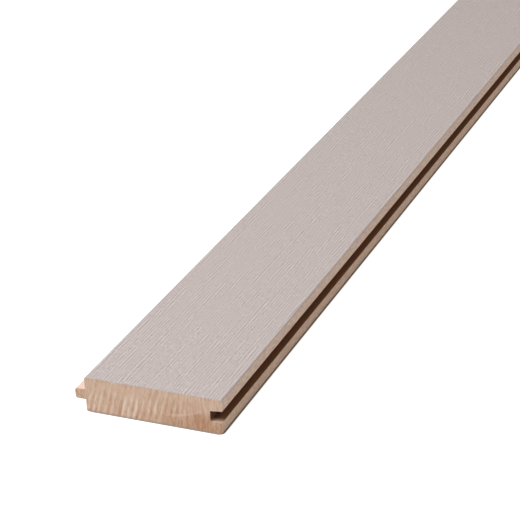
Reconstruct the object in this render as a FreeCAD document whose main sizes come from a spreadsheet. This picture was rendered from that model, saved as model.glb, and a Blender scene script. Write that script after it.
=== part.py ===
# Tongue and groove porch board: one length of wood-plastic composite flooring.
#
# The core is extruded and then milled: a tongue along one edge, a groove along the other. A thin cap is bonded to the
# walking face, between the rounded arrises of the core. The board lies as it is laid, cap up, with its length along Y,
# the tongue towards -X and the groove towards +X. The origin is under the middle of the board, on the plane that it
# rests on. Sizes are in millimetres.

import FreeCAD, Part
import os

import Sketcher

SIZES = (
    ("board_length", 2438.4, "an 8 ft length"),
    ("face_width", 79.4, "3-1/8 in of floor covered by each board, shoulder to groove edge"),
    ("board_thickness", 20.6, "13/16 in, underside to walking face"),
    ("cap_thickness", 0.25, "coloured cap on the walking face"),
    ("cap_easing", 0.15, "small round on the long edges of the cap"),
    ("tongue_arris_round", 0.7, "round on the core's top arris on the tongue's side, where the cap stops"),
    ("groove_arris_round", 0.25, "round on the core's top arris on the groove's side, where the cap stops"),
    ("tongue_reach", 6.1, "how far the tongue stands out of the shoulder"),
    ("tongue_thickness", 6.2, "root of the tongue, top to bottom"),
    ("tongue_taper", 0.2, "how much lower the tongue's top lies at the nose than at the root"),
    ("tongue_underside", 7.05, "height of the tongue's lower face above the underside"),
    ("nose_top_round", 1.2, "round on the upper edge of the tongue"),
    ("nose_bottom_round", 1.3, "round on the lower edge of the tongue"),
    ("groove_clearance", 0.15, "room under a mating tongue, and over its nose"),
    ("root_clearance", 0.9, "room between a mating tongue's nose and the root of the groove"),
    ("mouth_flare", 0.75, "how much higher the groove's roof lies at the mouth than at the root"),
    ("lower_lip_setback", 0.5, "how far the lower lip stops short of the upper one"),
    ("lower_lip_round", 1.6, "round under the lower lip"),
    ("shoulder_round", 0.7, "round under the tongue's shoulder"),
)


def make_sheet(doc):
    """The spreadsheet that holds the driving dimensions, one named cell each."""
    sheet = doc.addObject("Spreadsheet::Sheet", "Sizes")
    for row, (name, value, note) in enumerate(SIZES, start=1):
        sheet.set(f"A{row}", name)
        sheet.set(f"B{row}", str(value))
        sheet.set(f"C{row}", note)
        sheet.setAlias(f"B{row}", name)
    doc.recompute()
    return sheet


def size(name):
    """The text that an expression uses for a cell of the spreadsheet."""
    return f"Sizes.{name}"


# Places across the board (x) and above the plane that it rests on (z), as expressions of the driving dimensions.
TONGUE_TIP_X = f"(-({size('face_width')} + {size('tongue_reach')}) / 2)"
SHOULDER_X = f"({TONGUE_TIP_X} + {size('tongue_reach')})"
GROOVE_EDGE_X = f"(({size('face_width')} + {size('tongue_reach')}) / 2)"
GROOVE_DEPTH = f"({size('tongue_reach')} + {size('root_clearance')})"
LOWER_LIP_X = f"({GROOVE_EDGE_X} - {size('lower_lip_setback')})"
UNDERSIDE_Z = "0"
WALKING_FACE_Z = size("board_thickness")
CORE_TOP_Z = f"({size('board_thickness')} - {size('cap_thickness')})"
TONGUE_TOP_Z = f"({size('tongue_underside')} + {size('tongue_thickness')})"
NOSE_TOP_Z = f"({TONGUE_TOP_Z} - {size('tongue_taper')})"
GROOVE_FLOOR_Z = f"({size('tongue_underside')} - {size('groove_clearance')})"
ROOT_ROOF_Z = f"({NOSE_TOP_Z} + {size('groove_clearance')})"
MOUTH_ROOF_Z = f"({ROOT_ROOF_Z} + {size('mouth_flare')})"

START, END = 1, 2
ORIGIN = -1


def value_of(sheet, expression):
    """What an expression comes to, in millimetres."""
    return float(sheet.evalExpression(expression))


def rectangle(left, right, bottom, top):
    """The four corners of a rectangle, for an outline."""
    return ((left, bottom), (right, bottom), (right, top), (left, top))


def outline(body, sheet, name, corners):
    """A closed sketch in the section plane of the body, straight from corner to corner.

    Each corner is a pair of expressions, for its x and its z.
    """
    sketch = body.newObject("Sketcher::SketchObject", name)
    section_plane = next(plane for plane in body.Origin.OriginFeatures if plane.Role == "XZ_Plane")
    sketch.AttachmentSupport = [(section_plane, "")]
    sketch.MapMode = "FlatFace"
    points = [FreeCAD.Vector(value_of(sheet, x), value_of(sheet, z), 0) for x, z in corners]
    for start, end in zip(points, points[1:] + points[:1]):
        sketch.addGeometry(Part.LineSegment(start, end), False)
    for side in range(len(corners)):
        following = (side + 1) % len(corners)
        sketch.addConstraint(Sketcher.Constraint("Coincident", side, END, following, START))
    for side, (point, (x, z)) in enumerate(zip(points, corners)):
        for label, kind, distance, expression in (
            (f"corner_{side}_x", "DistanceX", point.x, x),
            (f"corner_{side}_z", "DistanceY", point.y, z),
        ):
            place = Sketcher.Constraint(kind, ORIGIN, START, side, START, distance)
            sketch.renameConstraint(sketch.addConstraint(place), label)
            sketch.setExpression(f"Constraints.{label}", expression)
    return sketch


def extrude(body, kind, name, sketch):
    """A pad or pocket of the sketch along the whole board, half its length to each side of the section plane."""
    feature = body.newObject(f"PartDesign::{kind}", name)
    feature.Profile = sketch
    feature.Midplane = True
    feature.setExpression("Length", size("board_length"))
    return feature


SAME_PLACE = 1e-4


def long_edge(shape, x, z):
    """Name of the shape's edge that runs along Y at that place."""
    for number, edge in enumerate(shape.Edges, start=1):
        ends = [vertex.Point for vertex in edge.Vertexes]
        if all(abs(end.x - x) < SAME_PLACE and abs(end.z - z) < SAME_PLACE for end in ends):
            return f"Edge{number}"
    raise RuntimeError(f"no long edge at x {x}, z {z}")


def round_edges(doc, sheet, body, base, rounds):
    """A fillet for each of the rounds: its name, the size that is its radius, and the edges' places as expressions."""
    for name, radius, places in rounds:
        doc.recompute()
        edges = [long_edge(base.Shape, value_of(sheet, x), value_of(sheet, z)) for x, z in places]
        fillet = body.newObject("PartDesign::Fillet", name)
        fillet.Base = (base, edges)
        fillet.setExpression("Radius", size(radius))
        base = fillet
    body.Tip = base


def make_core(doc, sheet):
    """The milled core: blank, tongue, groove and lower lip cut back, then the rounded long edges."""
    body = doc.addObject("PartDesign::Body", "board_core")
    body.Label = "board_core"

    blank = outline(
        body, sheet, "blank_outline", rectangle(SHOULDER_X, GROOVE_EDGE_X, UNDERSIDE_Z, CORE_TOP_Z)
    )
    extrude(body, "Pad", "blank", blank)

    # The tongue starts inside the blank, as far in as it stands out, and its top runs on at the same slope.
    inside_x = f"{SHOULDER_X} + {size('tongue_reach')}"
    tongue = outline(
        body,
        sheet,
        "tongue_outline",
        (
            (TONGUE_TIP_X, size("tongue_underside")),
            (inside_x, size("tongue_underside")),
            (inside_x, f"{TONGUE_TOP_Z} + {size('tongue_taper')}"),
            (TONGUE_TIP_X, NOSE_TOP_Z),
        ),
    )
    extrude(body, "Pad", "tongue", tongue)

    # The cutter reaches as far out of the edge as into it, so the roof runs on past the mouth at the same slope.
    outside_x = f"{GROOVE_EDGE_X} + {GROOVE_DEPTH}"
    root_x = f"{GROOVE_EDGE_X} - {GROOVE_DEPTH}"
    groove = outline(
        body,
        sheet,
        "groove_outline",
        (
            (root_x, GROOVE_FLOOR_Z),
            (outside_x, GROOVE_FLOOR_Z),
            (outside_x, f"{MOUTH_ROOF_Z} + {size('mouth_flare')}"),
            (root_x, ROOT_ROOF_Z),
        ),
    )
    extrude(body, "Pocket", "groove", groove)

    below = f"-{size('board_thickness')}"
    setback = outline(
        body, sheet, "lower_lip_outline", rectangle(LOWER_LIP_X, outside_x, below, GROOVE_FLOOR_Z)
    )
    lip = extrude(body, "Pocket", "lower_lip", setback)

    rounds = (
        ("nose_top", "nose_top_round", [(TONGUE_TIP_X, NOSE_TOP_Z)]),
        ("nose_bottom", "nose_bottom_round", [(TONGUE_TIP_X, size("tongue_underside"))]),
        ("under_lip", "lower_lip_round", [(LOWER_LIP_X, UNDERSIDE_Z)]),
        ("under_shoulder", "shoulder_round", [(SHOULDER_X, UNDERSIDE_Z)]),
        ("tongue_arris", "tongue_arris_round", [(SHOULDER_X, CORE_TOP_Z)]),
        ("groove_arris", "groove_arris_round", [(GROOVE_EDGE_X, CORE_TOP_Z)]),
    )
    round_edges(doc, sheet, body, lip, rounds)
    return body


def make_cap(doc, sheet):
    """The thin cap on the flat of the walking face, between the core's rounded arrises, with its own edges eased."""
    body = doc.addObject("PartDesign::Body", "walking_cap")
    body.Label = "walking_cap"
    left = f"{SHOULDER_X} + {size('tongue_arris_round')}"
    right = f"{GROOVE_EDGE_X} - {size('groove_arris_round')}"
    cap_outline = outline(
        body, sheet, "cap_outline", rectangle(left, right, CORE_TOP_Z, WALKING_FACE_Z)
    )
    cap = extrude(body, "Pad", "cap", cap_outline)
    top_edges = [(left, WALKING_FACE_Z), (right, WALKING_FACE_Z)]
    round_edges(doc, sheet, body, cap, [("eased_edges", "cap_easing", top_edges)])
    return body


def check(doc, bodies):
    """Stops the script if any feature failed, or if a piece isn't one valid solid."""
    for item in doc.Objects:
        if "Invalid" in item.State or "Error" in item.State:
            raise RuntimeError(f"{item.Label} failed: {item.State}")
    for body in bodies:
        shape = body.Shape
        if shape.isNull() or not shape.isValid() or len(shape.Solids) != 1:
            raise RuntimeError(f"{body.Label} isn't one valid solid")


doc = FreeCAD.newDocument("porch_board")
sheet = make_sheet(doc)
bodies = [make_core(doc, sheet), make_cap(doc, sheet)]
doc.recompute()
check(doc, bodies)

os.makedirs("parts", exist_ok=True)
for body in bodies:
    body.Shape.exportStep(f"parts/{body.Label}.step")
    box = body.Shape.BoundBox
    corners = (box.XMin, box.XMax, box.YMin, box.YMax, box.ZMin, box.ZMax)
    print(body.Label, "volume", round(body.Shape.Volume), "box", *(round(value, 3) for value in corners))
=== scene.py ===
import math

import bmesh
import bpy
from mathutils import Matrix, Vector, noise


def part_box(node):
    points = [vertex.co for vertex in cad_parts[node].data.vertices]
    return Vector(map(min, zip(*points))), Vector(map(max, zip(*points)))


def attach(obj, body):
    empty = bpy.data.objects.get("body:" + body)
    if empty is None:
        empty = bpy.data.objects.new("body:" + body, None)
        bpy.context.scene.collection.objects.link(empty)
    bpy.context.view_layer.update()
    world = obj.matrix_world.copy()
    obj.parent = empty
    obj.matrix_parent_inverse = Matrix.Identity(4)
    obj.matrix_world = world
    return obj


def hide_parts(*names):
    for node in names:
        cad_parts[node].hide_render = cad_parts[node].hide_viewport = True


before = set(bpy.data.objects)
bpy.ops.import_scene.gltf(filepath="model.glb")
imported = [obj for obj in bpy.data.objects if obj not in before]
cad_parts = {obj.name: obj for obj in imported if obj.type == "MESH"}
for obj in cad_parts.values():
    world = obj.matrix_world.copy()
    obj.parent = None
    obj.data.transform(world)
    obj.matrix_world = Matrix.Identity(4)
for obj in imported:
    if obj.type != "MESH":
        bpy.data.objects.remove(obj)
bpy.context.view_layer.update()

# Core
# One length of wood-fibre composite: a sawn blank that a moulder has run from end to end, which leaves a
# tongue along one edge and a groove in the other. The cap is bonded on top. Both ends are as sawn.

# The sizes of both pieces are in millimetres, across the board (x), along it (y) and above the floor (z).
MM = 0.001
SAME_PLACE = 1e-4
core_low, core_high = (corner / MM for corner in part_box("board_core"))
cap_low, cap_high = (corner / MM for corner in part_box("walking_cap"))

tongue_reach = 6.1
tongue_thickness = 6.2
tongue_taper = 0.2
tongue_underside = 7.05
groove_depth = 7.0
groove_clearance = 0.15
mouth_flare = 0.75
lower_lip_setback = 0.5

tongue_tip_x = core_low.x
shoulder_x = tongue_tip_x + tongue_reach
edge_x = core_high.x
groove_root_x = edge_x - groove_depth
lower_lip_x = edge_x - lower_lip_setback
near_y = core_low.y
length = core_high.y - core_low.y
core_top = core_high.z
tongue_root_top = tongue_underside + tongue_thickness
nose_top = tongue_root_top - tongue_taper
groove_floor = tongue_underside - groove_clearance
root_roof = nose_top + groove_clearance
mouth_roof = root_roof + mouth_flare

section = (
    (shoulder_x, 0),
    (lower_lip_x, 0),
    (lower_lip_x, groove_floor),
    (groove_root_x, groove_floor),
    (groove_root_x, root_roof),
    (edge_x, mouth_roof),
    (edge_x, core_top),
    (shoulder_x, core_top),
    (shoulder_x, tongue_root_top),
    (tongue_tip_x, nose_top),
    (tongue_tip_x, tongue_underside),
    (shoulder_x, tongue_underside),
)
# corner of the section, radius, segments
core_rounds = (
    ((lower_lip_x, 0), 1.6, 8),
    ((shoulder_x, 0), 0.7, 5),
    ((tongue_tip_x, nose_top), 1.2, 6),
    ((tongue_tip_x, tongue_underside), 1.3, 6),
    ((shoulder_x, core_top), cap_low.x - shoulder_x, 5),
    ((edge_x, core_top), edge_x - cap_high.x, 3),
    ((edge_x, mouth_roof), 0.15, 2),
    ((lower_lip_x, groove_floor), 0.15, 2),
)


def runs_along_board(edge):
    """True for an edge that runs from end to end, along Y."""
    start, end = (vert.co for vert in edge.verts)
    return abs(start.x - end.x) < SAME_PLACE and abs(start.z - end.z) < SAME_PLACE


def round_corner(mesh, corner, radius, segments):
    """Rounds the long edge at that (x, z) corner of the section."""
    at_corner = [
        edge
        for edge in mesh.edges
        if runs_along_board(edge)
        and abs(edge.verts[0].co.x - corner[0]) < SAME_PLACE
        and abs(edge.verts[0].co.z - corner[1]) < SAME_PLACE
    ]
    bmesh.ops.bevel(
        mesh,
        geom=at_corner,
        offset=radius,
        segments=segments,
        profile=0.5,
        affect="EDGES",
        material=-1,
    )


def cut_faces(mesh, faces, direction, places):
    """Cuts the faces by planes across the direction at those places, and returns the faces they become."""
    for place in places:
        parts = set(faces)
        for face in faces:
            parts.update(face.edges)
            parts.update(face.verts)
        cut = bmesh.ops.bisect_plane(
            mesh,
            geom=list(parts),
            dist=SAME_PLACE,
            plane_co=direction * place,
            plane_no=direction,
        )
        faces = [item for item in cut["geom"] if isinstance(item, bmesh.types.BMFace)]
    return faces


# The sawn ends show pale, near-upright bands, about 3.5 mm apart, in browner fibre. They lean over as they
# rise, except towards the groove, where they are faint, browner patches show between them and a pale scratch
# of the saw crosses them. The bands are given by their places across the board at band_mid_height.
strong_bands = (-34.2, -30.8, -27.8, -24.0, -20.3, -13.6, -10.2, -6.9, -3.4, 0.4, 4.2, 8.1)
faint_bands = (-40.4, -37.2, -17.0, -11.9, 11.6, 15.0, 18.1, 21.2, 24.3, 38.0)
brown_bands = (13.2, 16.5, 26.8, 28.6, 31.4, 41.2)
band_half_width = 0.75
band_mid_height = 8.0
band_lean = 0.3
brown_beside_band = 1.7
scratch_lowest_x = 10
scratch_lowest_z = 6.6
scratch_curve = 0.0118
scratch_half_width = 0.6


def smooth_step(low, high, value):
    """A smooth ramp from 0 at low to 1 at high, level past both. Low may be the higher number of the two."""
    share = min(max((value - low) / (high - low), 0.0), 1.0)
    return share * share * (3 - 2 * share)


def near_bands(across, places):
    """1 on the middle of any of those bands, falling to 0 beside them."""
    return max(math.exp(-(((across - place) / band_half_width) ** 2)) for place in places)


def grain_tone(x, z):
    """Tone of the sawn end at a place: about 1 on the palest bands and about -1 in the brownest fibre."""
    wander = 0.45 * noise.noise(Vector((x / 8, z / 5, 3.1)))
    across = x - band_lean * smooth_step(32, 8, x) * (z - band_mid_height) + wander
    bands = 1.9 * near_bands(across, strong_bands) - 0.6 * smooth_step(22, 6, x)
    bands += 0.7 * near_bands(across, faint_bands) - 0.5 * near_bands(across, brown_bands)
    bands -= 0.6 * near_bands(across + brown_beside_band, strong_bands) * smooth_step(11, 6, z)
    fading = 0.85 + 0.7 * noise.noise(Vector((across / 2.5, z / 4, 6.2)))
    fading *= 1 - 0.55 * smooth_step(7, 3, z) * smooth_step(-8, 3, x) - 0.25 * smooth_step(-12, -24, x)
    upper_fade = 0.3 + 0.7 * smooth_step(15, 10, z)
    fine = noise.noise(Vector((across / 0.5, z / 6, 7.7)))
    blotches = noise.noise(Vector((x / 1.1, z / 1.4, 4.3)))
    broad = noise.noise(Vector((x / 6, z / 5, 1.4)))
    low_and_brown = 0.4 * smooth_step(8, 2, z) * smooth_step(-10, 12, x)
    low_and_brown += 1.0 * smooth_step(13, 8, z) * smooth_step(4, 26, x)
    on_the_tongue = smooth_step(shoulder_x + 0.5, shoulder_x - 1.5, x)
    low_and_brown += 0.35 * on_the_tongue
    scratch_z = scratch_lowest_z + scratch_curve * (x - scratch_lowest_x) ** 2
    scratch = math.exp(-(((z - scratch_z) / scratch_half_width) ** 2))
    scratch *= smooth_step(9, 14, x) * smooth_step(33, 29, x)
    tone = upper_fade * fading * bands + fine + (0.35 + 1.2 * on_the_tongue) * blotches + 0.3 * broad
    return tone - low_and_brown + 0.9 * scratch


sawn_relief = 0.12
end_columns = 240
end_rows = 30

core = bmesh.new()
sawn_end = core.faces.new([core.verts.new((x, near_y, z)) for x, z in section])
run = bmesh.ops.extrude_face_region(core, geom=[sawn_end])["geom"]
far_verts = [item for item in run if isinstance(item, bmesh.types.BMVert)]
bmesh.ops.translate(core, vec=(0, length, 0), verts=far_verts)
bmesh.ops.recalc_face_normals(core, faces=core.faces)
for corner, radius, segments in core_rounds:
    round_corner(core, corner, radius, segments)

ends = [face for face in core.faces if abs(face.normal.y) > 0.9]
width = edge_x - tongue_tip_x
columns = [tongue_tip_x + width * (number + 0.5) / end_columns for number in range(end_columns)]
rows = [core_top * (number + 0.5) / end_rows for number in range(end_rows)]
ends = cut_faces(core, ends, Vector((1, 0, 0)), columns)
ends = cut_faces(core, ends, Vector((0, 0, 1)), rows)

tone_layer = core.verts.layers.float.new("grain_tone")
for vert in {vert for face in ends for vert in face.verts}:
    tone = grain_tone(vert.co.x, vert.co.z)
    vert[tone_layer] = tone
    recess = sawn_relief * (1 - smooth_step(-1.2, 1.2, tone))
    vert.co.y += recess if vert.co.y < 0 else -recess

SAWN, MILLED, GROOVE = range(3)
for face in core.faces:
    middle = face.calc_center_median()
    in_groove = middle.x > groove_root_x - 0.01 and groove_floor - 0.01 < middle.z < mouth_roof + 0.01
    face.material_index = GROOVE if in_groove else MILLED
    face.smooth = True
for face in ends:
    face.material_index = SAWN
for edge in core.edges:
    edge.smooth = edge.calc_face_angle(0) < math.radians(25)

bmesh.ops.scale(core, vec=(MM, MM, MM), verts=core.verts)
core_mesh = bpy.data.meshes.new("milled_core")
core.to_mesh(core_mesh)
core.free()
milled_core = bpy.data.objects.new("milled_core", core_mesh)
bpy.context.scene.collection.objects.link(milled_core)
weighted = milled_core.modifiers.new("flat_faces_stay_flat", "WEIGHTED_NORMAL")
weighted.keep_sharp = True


def linear(hex_colour):
    """The linear colour of an sRGB hex value."""
    channels = [int(hex_colour[start : start + 2], 16) / 255 for start in (1, 3, 5)]
    return (*(c / 12.92 if c <= 0.04045 else ((c + 0.055) / 1.055) ** 2.4 for c in channels), 1.0)


def add_node(material, kind, inputs=(), **settings):
    """Adds a node with those settings. Each input is a value, or the output socket that feeds it."""
    node = material.node_tree.nodes.new(kind)
    for name, value in settings.items():
        setattr(node, name, value)
    for name, value in dict(inputs).items():
        if isinstance(value, bpy.types.NodeSocket):
            material.node_tree.links.new(value, node.inputs[name])
        else:
            node.inputs[name].default_value = value
    return node


def new_material(name):
    """A material with an empty node tree."""
    material = bpy.data.materials.new(name)
    material.use_nodes = True
    material.node_tree.nodes.clear()
    return material


# Sawn composite end: cut by a fine-toothed blade, so it is matt, with the fibre showing as pale and brown
# bands and as fine upright lines, pinker in places. Its lowest millimetre and a half is greyed, darkest at
# the floor, as painted shade where it meets the floor.
sawn = new_material("sawn_composite_end")
tone = add_node(sawn, "ShaderNodeAttribute", attribute_name="grain_tone")
place = add_node(sawn, "ShaderNodeTexCoord")
fibre_place = add_node(
    sawn,
    "ShaderNodeMapping",
    {"Vector": place.outputs["Object"], "Scale": (1 / 0.0006, 1 / 0.002, 1 / 0.003)},
)
fibre = add_node(
    sawn, "ShaderNodeTexNoise", {"Vector": fibre_place.outputs["Vector"], "Scale": 1.0, "Detail": 4.0}
)
mixed_tone = add_node(
    sawn,
    "ShaderNodeMath",
    {0: fibre.outputs["Fac"], 1: 2.2, 2: tone.outputs["Fac"]},
    operation="MULTIPLY_ADD",
)
tone_share = add_node(
    sawn, "ShaderNodeMapRange", {"Value": mixed_tone.outputs["Value"], "From Min": -0.5, "From Max": 2.7}
)
sawn_colour = add_node(sawn, "ShaderNodeValToRGB", {"Fac": tone_share.outputs["Result"]})
sawn_ramp = sawn_colour.color_ramp.elements
sawn_ramp[0].position, sawn_ramp[0].color = 0.0, linear("#C2936F")
sawn_ramp[1].position, sawn_ramp[1].color = 1.0, linear("#F6E4D4")
middle_tone = sawn_ramp.new(0.5)
middle_tone.color = linear("#E4C3AA")
pink_place = add_node(
    sawn,
    "ShaderNodeMapping",
    {"Vector": place.outputs["Object"], "Scale": (1 / 0.002, 1 / 0.01, 1 / 0.006)},
)
pink_patches = add_node(
    sawn, "ShaderNodeTexNoise", {"Vector": pink_place.outputs["Vector"], "Scale": 1.0, "Detail": 2.0}
)
pink_share = add_node(
    sawn,
    "ShaderNodeMapRange",
    {"Value": pink_patches.outputs["Fac"], "From Min": 0.5, "From Max": 0.8, "To Max": 0.8},
)
pinker = add_node(
    sawn,
    "ShaderNodeMix",
    {0: pink_share.outputs["Result"], "A": sawn_colour.outputs["Color"], "B": linear("#E4B7A6")},
    data_type="RGBA",
)
axes = add_node(sawn, "ShaderNodeSeparateXYZ", {"Vector": place.outputs["Object"]})
# Painted shade: the lowest 1.4 mm of the sawn end is greyed, darkest at the floor.
at_the_bottom = add_node(
    sawn,
    "ShaderNodeMapRange",
    {"Value": axes.outputs["Z"], "From Min": 0.0014, "From Max": 0.0003, "To Max": 0.8},
)
with_painted_floor_shade = add_node(
    sawn,
    "ShaderNodeMix",
    {0: at_the_bottom.outputs["Result"], "A": pinker.outputs["Result"], "B": linear("#B8A398")},
    data_type="RGBA",
)
sawn_bump = add_node(
    sawn,
    "ShaderNodeBump",
    {"Height": fibre.outputs["Fac"], "Strength": 0.5, "Distance": 0.0001},
)
sawn_surface = add_node(
    sawn,
    "ShaderNodeBsdfPrincipled",
    {
        "Base Color": with_painted_floor_shade.outputs["Result"],
        "Roughness": 0.85,
        "IOR": 1.45,
        "Normal": sawn_bump.outputs["Normal"],
    },
)
add_node(sawn, "ShaderNodeOutputMaterial", {"Surface": sawn_surface.outputs["BSDF"]})

# Milled composite faces: planed along the board by the moulder's cutters, which leave short fibre marks.
# Higher up they are painted paler and bluer, as painted light that is stronger up the face. The cap's grey
# film runs just over the arrises.
milled = new_material("milled_composite_face")
place = add_node(milled, "ShaderNodeTexCoord")
mark_place = add_node(
    milled,
    "ShaderNodeMapping",
    {"Vector": place.outputs["Object"], "Scale": (1 / 0.0006, 1 / 0.004, 1 / 0.0006)},
)
marks = add_node(
    milled, "ShaderNodeTexNoise", {"Vector": mark_place.outputs["Vector"], "Scale": 1.0, "Detail": 3.0}
)
milled_colour = add_node(milled, "ShaderNodeValToRGB", {"Fac": marks.outputs["Fac"]})
milled_ramp = milled_colour.color_ramp.elements
milled_ramp[0].position, milled_ramp[0].color = 0.3, linear("#D2B09B")
milled_ramp[1].position, milled_ramp[1].color = 0.7, linear("#FCDFCD")
height = add_node(milled, "ShaderNodeSeparateXYZ", {"Vector": place.outputs["Object"]})
# Painted light: from 6 to 14 mm up, the milled colour is made paler and bluer.
higher_up_the_face = add_node(
    milled,
    "ShaderNodeMapRange",
    {"Value": height.outputs["Z"], "From Min": 0.006, "From Max": 0.014},
    interpolation_type="SMOOTHSTEP",
)
painted_light_higher_up = add_node(
    milled,
    "ShaderNodeMix",
    {0: higher_up_the_face.outputs["Result"], "A": (1.0, 1.0, 1.0, 1.0), "B": (1.12, 1.17, 1.23, 1.0)},
    data_type="RGBA",
)
milled_with_painted_light = add_node(
    milled,
    "ShaderNodeVectorMath",
    {0: milled_colour.outputs["Color"], 1: painted_light_higher_up.outputs["Result"]},
    operation="MULTIPLY",
)
over_the_arris = add_node(
    milled,
    "ShaderNodeMapRange",
    {"Value": height.outputs["Z"], "From Min": (core_top - 0.6) * MM, "From Max": (core_top - 0.2) * MM},
    interpolation_type="SMOOTHSTEP",
)
filmed = add_node(
    milled,
    "ShaderNodeMix",
    {0: over_the_arris.outputs["Result"], "A": milled_with_painted_light.outputs["Vector"], "B": linear("#BDB0AC")},
    data_type="RGBA",
)
milled_bump = add_node(
    milled,
    "ShaderNodeBump",
    {"Height": marks.outputs["Fac"], "Strength": 0.4, "Distance": 0.0001},
)
milled_surface = add_node(
    milled,
    "ShaderNodeBsdfPrincipled",
    {
        "Base Color": filmed.outputs["Result"],
        "Roughness": 0.7,
        "IOR": 1.45,
        "Normal": milled_bump.outputs["Normal"],
    },
)
add_node(milled, "ShaderNodeOutputMaterial", {"Surface": milled_surface.outputs["BSDF"]})

# Groove with painted shade: its walls are painted dark brown, darkest at the root, as painted shade inside
# the groove. By the sawn ends its floor is painted pale again, as painted light that reaches in from the
# ends.
groove = new_material("groove_with_painted_shade")
place = add_node(groove, "ShaderNodeTexCoord")
axes = add_node(groove, "ShaderNodeSeparateXYZ", {"Vector": place.outputs["Object"]})
from_middle = add_node(groove, "ShaderNodeMath", {0: axes.outputs["Y"]}, operation="ABSOLUTE")
half_length = length / 2 * MM
by_the_end = add_node(
    groove,
    "ShaderNodeMapRange",
    {"Value": from_middle.outputs["Value"], "From Min": half_length - 0.006, "From Max": half_length},
    interpolation_type="SMOOTHSTEP",
)
on_the_floor = add_node(
    groove,
    "ShaderNodeMath",
    {0: axes.outputs["Z"], 1: (groove_floor + 0.5) * MM},
    operation="LESS_THAN",
)
# Painted light: within 6 mm of each sawn end the groove's floor turns pale.
painted_light_near_ends = add_node(
    groove,
    "ShaderNodeMath",
    {0: by_the_end.outputs["Result"], 1: on_the_floor.outputs["Value"]},
    operation="MULTIPLY",
)
# Painted shade: the groove is dark brown all along, darkest at its root.
out_of_the_root = add_node(
    groove,
    "ShaderNodeMapRange",
    {"Value": axes.outputs["X"], "From Min": groove_root_x * MM, "From Max": (groove_root_x + 3.0) * MM},
)
painted_groove_shade = add_node(groove, "ShaderNodeValToRGB", {"Fac": out_of_the_root.outputs["Result"]})
painted_groove_shade_ramp = painted_groove_shade.color_ramp.elements
painted_groove_shade_ramp[0].position, painted_groove_shade_ramp[0].color = 0.0, linear("#6A4B3C")
painted_groove_shade_ramp[1].position, painted_groove_shade_ramp[1].color = 1.0, linear("#966A4D")
groove_colour = add_node(
    groove,
    "ShaderNodeMix",
    {0: painted_light_near_ends.outputs["Value"], "A": painted_groove_shade.outputs["Color"], "B": linear("#E6C8B0")},
    data_type="RGBA",
)
groove_surface = add_node(
    groove,
    "ShaderNodeBsdfPrincipled",
    {
        "Base Color": groove_colour.outputs["Result"],
        "Roughness": 0.9,
        "IOR": 1.45,
        "Specular IOR Level": 0.15,
    },
)
add_node(groove, "ShaderNodeOutputMaterial", {"Surface": groove_surface.outputs["BSDF"]})

for material in (sawn, milled, groove):
    core_mesh.materials.append(material)
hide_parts("board_core")
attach(milled_core, "root")

# Walking cap
# A thin polymer skin, extruded over the core in one colour and then brushed and embossed along the board, so
# that it has the fine broken lines of brushed timber. Its long edges are eased. It is sawn off with the core.

cap_easing = 0.15
easing_segments = 2
brush_columns = 156
brush_rows = 590
brush_depth = 0.12
brush_spacing = 1.8

cap = bmesh.new()
bmesh.ops.create_cube(cap, size=1.0)
bmesh.ops.scale(cap, vec=cap_high - cap_low, verts=cap.verts)
bmesh.ops.translate(cap, vec=(cap_high + cap_low) / 2, verts=cap.verts)
for side_x in (cap_low.x, cap_high.x):
    round_corner(cap, (side_x, cap_high.z), cap_easing, easing_segments)
across_top = [
    edge
    for edge in cap.edges
    if abs(edge.verts[0].co.y - edge.verts[1].co.y) < SAME_PLACE
    and min(vert.co.z for vert in edge.verts) > cap_high.z - SAME_PLACE
]
bmesh.ops.subdivide_edges(cap, edges=across_top, cuts=brush_columns - 1)
along_board = [edge for edge in cap.edges if runs_along_board(edge)]
bmesh.ops.subdivide_edges(cap, edges=along_board, cuts=brush_rows - 1)


def brush_line(x, y):
    """How deep the brushing is at a place, from 0 on the crest of a line to 1 in the deepest trough."""
    lines = x / brush_spacing + 0.6 * noise.noise(Vector((x / 5, y / 50, 0.3)))
    bundle = 0.5 + 1.9 * noise.noise(Vector((x / 4, y / 7, 5.2)))
    swing = min(max(bundle, 0.0), 1.0)
    return 0.5 + 0.5 * swing * math.sin(2 * math.pi * lines)


depth_layer = cap.verts.layers.float.new("brush_depth")
for vert in cap.verts:
    if vert.co.z < cap_high.z - SAME_PLACE:
        continue
    depth = brush_line(vert.co.x, vert.co.y)
    vert[depth_layer] = depth
    from_edge = min(vert.co.x - cap_low.x, cap_high.x - vert.co.x)
    vert.co.z -= brush_depth * depth * smooth_step(cap_easing, 5 * cap_easing, from_edge)
for face in cap.faces:
    face.smooth = True
for edge in cap.edges:
    edge.smooth = edge.calc_face_angle(0) < math.radians(35)
bmesh.ops.recalc_face_normals(cap, faces=cap.faces)
bmesh.ops.scale(cap, vec=(MM, MM, MM), verts=cap.verts)
cap_mesh = bpy.data.meshes.new("brushed_cap")
cap.to_mesh(cap_mesh)
cap.free()
brushed_cap = bpy.data.objects.new("brushed_cap", cap_mesh)
bpy.context.scene.collection.objects.link(brushed_cap)

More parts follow.
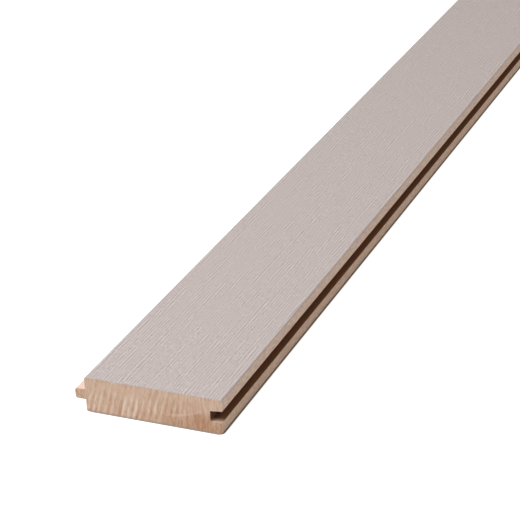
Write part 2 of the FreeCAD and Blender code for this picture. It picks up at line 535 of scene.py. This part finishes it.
# Brushed polymer skin: a warm pale grey, dyed through, darker where the brushing is deep, with short hair
# lines between. The real hairs are finer, and too fine to show, so here they are drawn 0.8 mm wide.
skin = new_material("brushed_polymer_skin")
place = add_node(skin, "ShaderNodeTexCoord")
depth = add_node(skin, "ShaderNodeAttribute", attribute_name="brush_depth")
hair_place = add_node(
    skin,
    "ShaderNodeMapping",
    {"Vector": place.outputs["Object"], "Scale": (1 / 0.0008, 1 / 0.002, 1 / 0.0008)},
)
hairs = add_node(
    skin, "ShaderNodeTexNoise", {"Vector": hair_place.outputs["Vector"], "Scale": 1.0, "Detail": 1.0}
)
patch_place = add_node(
    skin,
    "ShaderNodeMapping",
    {"Vector": place.outputs["Object"], "Scale": (1 / 0.006, 1 / 0.02, 1 / 0.006)},
)
patches = add_node(
    skin, "ShaderNodeTexNoise", {"Vector": patch_place.outputs["Vector"], "Scale": 1.0, "Detail": 1.0}
)
patch_contrast = add_node(
    skin,
    "ShaderNodeMapRange",
    {"Value": patches.outputs["Fac"], "From Min": 0.35, "From Max": 0.65, "To Min": 0.2, "To Max": 0.7},
)
hair_about_zero = add_node(skin, "ShaderNodeMath", {0: hairs.outputs["Fac"], 1: 0.5}, operation="SUBTRACT")
hair_tone = add_node(
    skin,
    "ShaderNodeMath",
    {0: hair_about_zero.outputs["Value"], 1: patch_contrast.outputs["Result"], 2: 0.25},
    operation="MULTIPLY_ADD",
)
line_share = add_node(
    skin,
    "ShaderNodeMath",
    {0: depth.outputs["Fac"], 1: 0.5, 2: hair_tone.outputs["Value"]},
    operation="MULTIPLY_ADD",
)
skin_colour = add_node(skin, "ShaderNodeValToRGB", {"Fac": line_share.outputs["Value"]})
skin_ramp = skin_colour.color_ramp.elements
skin_ramp[0].position, skin_ramp[0].color = 0.0, linear("#F0E4E1")
skin_ramp[1].position, skin_ramp[1].color = 1.0, linear("#948785")
skin_bump = add_node(
    skin, "ShaderNodeBump", {"Height": hairs.outputs["Fac"], "Strength": 0.35, "Distance": 0.0001}
)
skin_surface = add_node(
    skin,
    "ShaderNodeBsdfPrincipled",
    {
        "Base Color": skin_colour.outputs["Color"],
        "Roughness": 0.6,
        "IOR": 1.5,
        "Normal": skin_bump.outputs["Normal"],
    },
)
add_node(skin, "ShaderNodeOutputMaterial", {"Surface": skin_surface.outputs["BSDF"]})
cap_mesh.materials.append(skin)
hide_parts("walking_cap")
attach(brushed_cap, "root")

# Studio floor
# A wide sweep of pale paper that the board lies on. Seen by the camera it is lifted to white, with only a
# faint shadow left on it, except in a thin band round the board's footprint, which is painted a darker
# brown-grey as a painted contact shadow. Its sizes are in metres.

floor_reach = 15.0
floor_drop = 0.00005
contact_reach = 0.0008
contact_corner = 0.003
floor = bmesh.new()
bmesh.ops.create_grid(floor, x_segments=1, y_segments=1, size=floor_reach)
bmesh.ops.translate(floor, vec=(0, 0, -floor_drop), verts=floor.verts)
floor_mesh = bpy.data.meshes.new("studio_floor")
floor.to_mesh(floor_mesh)
floor.free()
studio_floor = bpy.data.objects.new("studio_floor", floor_mesh)
bpy.context.scene.collection.objects.link(studio_floor)

sweep = new_material("white_paper_sweep")
place = add_node(sweep, "ShaderNodeTexCoord")
footprint_middle = ((lower_lip_x + shoulder_x) / 2 * MM, 0.0, 0.0)
footprint_half = ((lower_lip_x - shoulder_x) / 2 * MM - contact_corner, half_length - contact_corner, 1.0)
from_middle = add_node(
    sweep, "ShaderNodeVectorMath", {0: place.outputs["Object"], 1: footprint_middle}, operation="SUBTRACT"
)
quarter = add_node(sweep, "ShaderNodeVectorMath", {0: from_middle.outputs["Vector"]}, operation="ABSOLUTE")
past_footprint = add_node(
    sweep, "ShaderNodeVectorMath", {0: quarter.outputs["Vector"], 1: footprint_half}, operation="SUBTRACT"
)
outside = add_node(
    sweep,
    "ShaderNodeVectorMath",
    {0: past_footprint.outputs["Vector"], 1: (0.0, 0.0, 0.0)},
    operation="MAXIMUM",
)
distance = add_node(sweep, "ShaderNodeVectorMath", {0: outside.outputs["Vector"]}, operation="LENGTH")
off_contact = add_node(
    sweep,
    "ShaderNodeMapRange",
    {
        "Value": distance.outputs["Value"],
        "From Min": contact_corner,
        "From Max": contact_corner + contact_reach,
    },
    interpolation_type="SMOOTHSTEP",
)
paper = add_node(sweep, "ShaderNodeBsdfDiffuse", {"Color": linear("#CFCFCF")})
# Painted shadow: a darker brown-grey band round the board's footprint, where it meets the floor.
painted_contact_shadow = add_node(sweep, "ShaderNodeBsdfDiffuse", {"Color": linear("#A39C93")})
white = add_node(sweep, "ShaderNodeEmission", {"Color": linear("#FFFFFF"), "Strength": 0.85})
lifted = add_node(
    sweep, "ShaderNodeAddShader", {0: paper.outputs["BSDF"], 1: white.outputs["Emission"]}
)
as_seen = add_node(
    sweep,
    "ShaderNodeMixShader",
    {0: off_contact.outputs["Result"], 1: painted_contact_shadow.outputs["BSDF"], 2: lifted.outputs["Shader"]},
)


def seen_share(material):
    """1 where the camera sees it, straight, mirrored or through glass, and 0 where it only gives light."""
    ray = add_node(material, "ShaderNodeLightPath")
    straight_or_mirrored = add_node(
        material,
        "ShaderNodeMath",
        {0: ray.outputs["Is Camera Ray"], 1: ray.outputs["Is Glossy Ray"]},
        operation="MAXIMUM",
    )
    seen = add_node(
        material,
        "ShaderNodeMath",
        {0: straight_or_mirrored.outputs["Value"], 1: ray.outputs["Is Transmission Ray"]},
        operation="MAXIMUM",
    )
    return seen.outputs["Value"]


sweep_surface = add_node(
    sweep,
    "ShaderNodeMixShader",
    {0: seen_share(sweep), 1: paper.outputs["BSDF"], 2: as_seen.outputs["Shader"]},
)
add_node(sweep, "ShaderNodeOutputMaterial", {"Surface": sweep_surface.outputs["Shader"]})
floor_mesh.materials.append(sweep)

# Studio light
# A large soft box above the board's near end, over on the tongue side, and an even dome of light all round.

box_place = Vector((-0.65, -1.91, 1.55))
box_aim = Vector((0.0, -1.2, 0.0))
soft_box = bpy.data.lights.new("soft_box", "AREA")
soft_box.shape = "SQUARE"
soft_box.size = 1.4
soft_box.energy = 27
soft_box.color = linear("#F1F7FF")[:3]
soft_box_object = bpy.data.objects.new("soft_box", soft_box)
soft_box_object.location = box_place
soft_box_object.rotation_euler = (box_aim - box_place).to_track_quat("-Z", "Y").to_euler()
bpy.context.scene.collection.objects.link(soft_box_object)

dome = bpy.data.worlds.new("studio_dome")
dome.use_nodes = True
dome.node_tree.nodes.clear()
dome_light = add_node(dome, "ShaderNodeBackground", {"Color": linear("#FEF4E3"), "Strength": 0.4})
dome_white = add_node(dome, "ShaderNodeBackground", {"Color": linear("#FFFFFF"), "Strength": 1.0})
dome_surface = add_node(
    dome,
    "ShaderNodeMixShader",
    {
        0: seen_share(dome),
        1: dome_light.outputs["Background"],
        2: dome_white.outputs["Background"],
    },
)
add_node(dome, "ShaderNodeOutputWorld", {"Surface": dome_surface.outputs["Shader"]})
bpy.context.scene.world = dome
bpy.context.scene.view_settings.view_transform = "Standard"

# Camera
# Stands where the photograph was taken from: before the sawn end, on the groove side, looking along the
# board. Its place, angles and focal length were fitted to the long edges and the sawn end in the photograph.

picture_width = 520
focal_length_px = 1817.5
camera_place = Vector((0.3889, -1.9502, 0.4862))
azimuth, elevation, roll = (math.radians(angle) for angle in (23.698, 25.572, -2.750))

camera_data = bpy.data.cameras.new("camera")
camera_data.sensor_fit = "HORIZONTAL"
camera_data.sensor_width = 36.0
camera_data.lens = focal_length_px / picture_width * camera_data.sensor_width
camera_data.clip_start = 0.05
camera_data.clip_end = 100.0
camera = bpy.data.objects.new("camera", camera_data)
back = Vector(
    (
        math.sin(azimuth) * math.cos(elevation),
        -math.cos(azimuth) * math.cos(elevation),
        math.sin(elevation),
    )
)
level = Vector((math.cos(azimuth), math.sin(azimuth), 0.0))
upright = back.cross(level)
tilted_right = math.cos(roll) * level + math.sin(roll) * upright
tilted_up = math.cos(roll) * upright - math.sin(roll) * level
turn = Matrix((tilted_right, tilted_up, back)).transposed().to_4x4()
camera.matrix_world = Matrix.Translation(camera_place) @ turn
bpy.context.scene.collection.objects.link(camera)
bpy.context.scene.camera = camera
